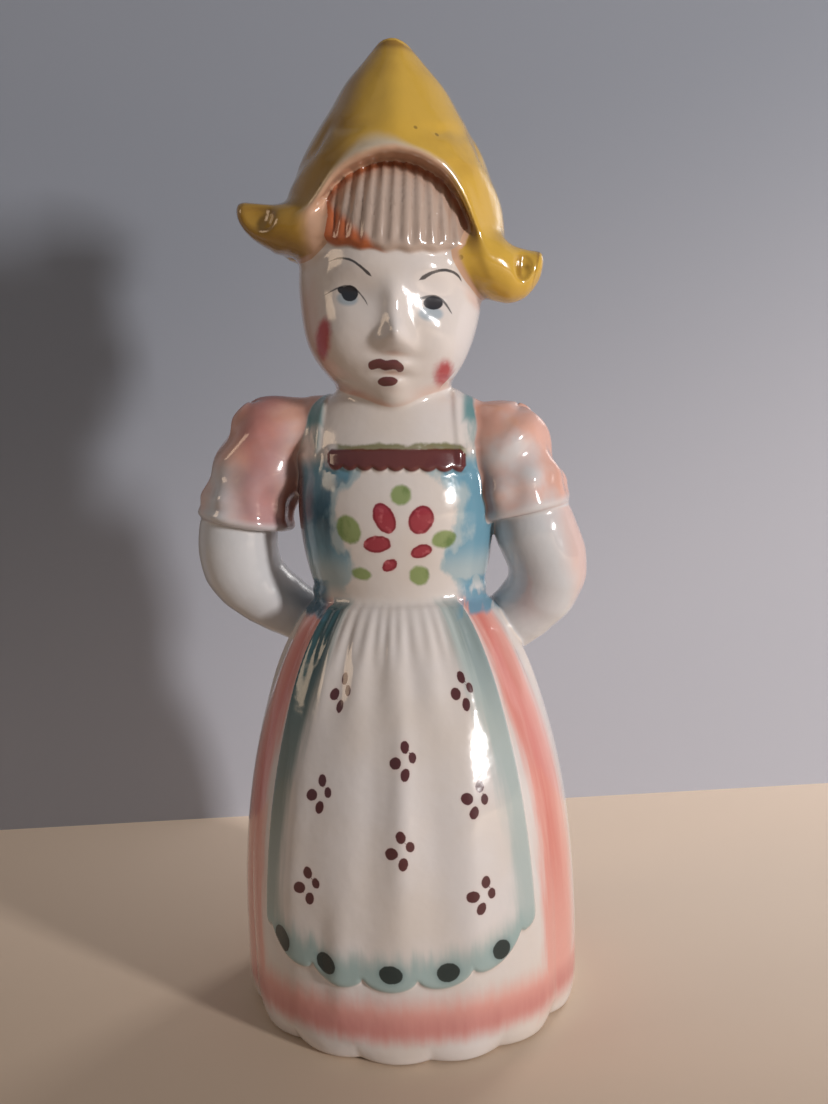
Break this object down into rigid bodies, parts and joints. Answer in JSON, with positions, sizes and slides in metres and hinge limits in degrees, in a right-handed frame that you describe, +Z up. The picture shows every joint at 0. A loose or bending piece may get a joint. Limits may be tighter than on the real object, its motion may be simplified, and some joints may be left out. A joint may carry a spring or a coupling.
{
  "type": "clothes sprinkler bottle",
  "caption": "Glazed ceramic laundry sprinkler bottle in the form of a girl in an apron and winged cap, stoppered by a cork with a metal sprinkling rose.",
  "frame": {"origin": "centre of the flat base, on the table", "axes": "+Z up the figure; the face and apron look towards -Y; +X is the figure's own left"},
  "size_m": [0.0847, 0.0698, 0.2068],
  "materials": {
    "white_glaze": "glossy, painted under the glaze",
    "skin_glaze": "glossy, painted under the glaze",
    "yellow_glaze": "glossy",
    "sleeve_glaze": "glossy",
    "cork_bark": "matte",
    "spun_aluminium": "satin"
  },
  "bodies": {
    "bottle": {"figure_body": "white_glaze", "head": "skin_glaze", "dutch_cap": "yellow_glaze", "right_arm": "sleeve_glaze", "left_arm": "sleeve_glaze"},
    "cork": {"cork": "cork_bark"},
    "rose": {"rose_stem": "spun_aluminium", "rose_base": "spun_aluminium", "rose_dome": "spun_aluminium"}
  },
  "joints": [
    {"name": "stopper_pull", "type": "slide", "parent": "bottle", "child": "cork", "axis": [-0.0081, 0.568, 0.823], "range_m": [0, 0.045]},
    {"name": "rose_turn", "type": "hinge", "parent": "cork", "child": "rose", "pos_m": [0.00174, 0.01286, 0.19253], "axis": [-0.0081, 0.568, 0.823], "continuous": true}
  ]
}
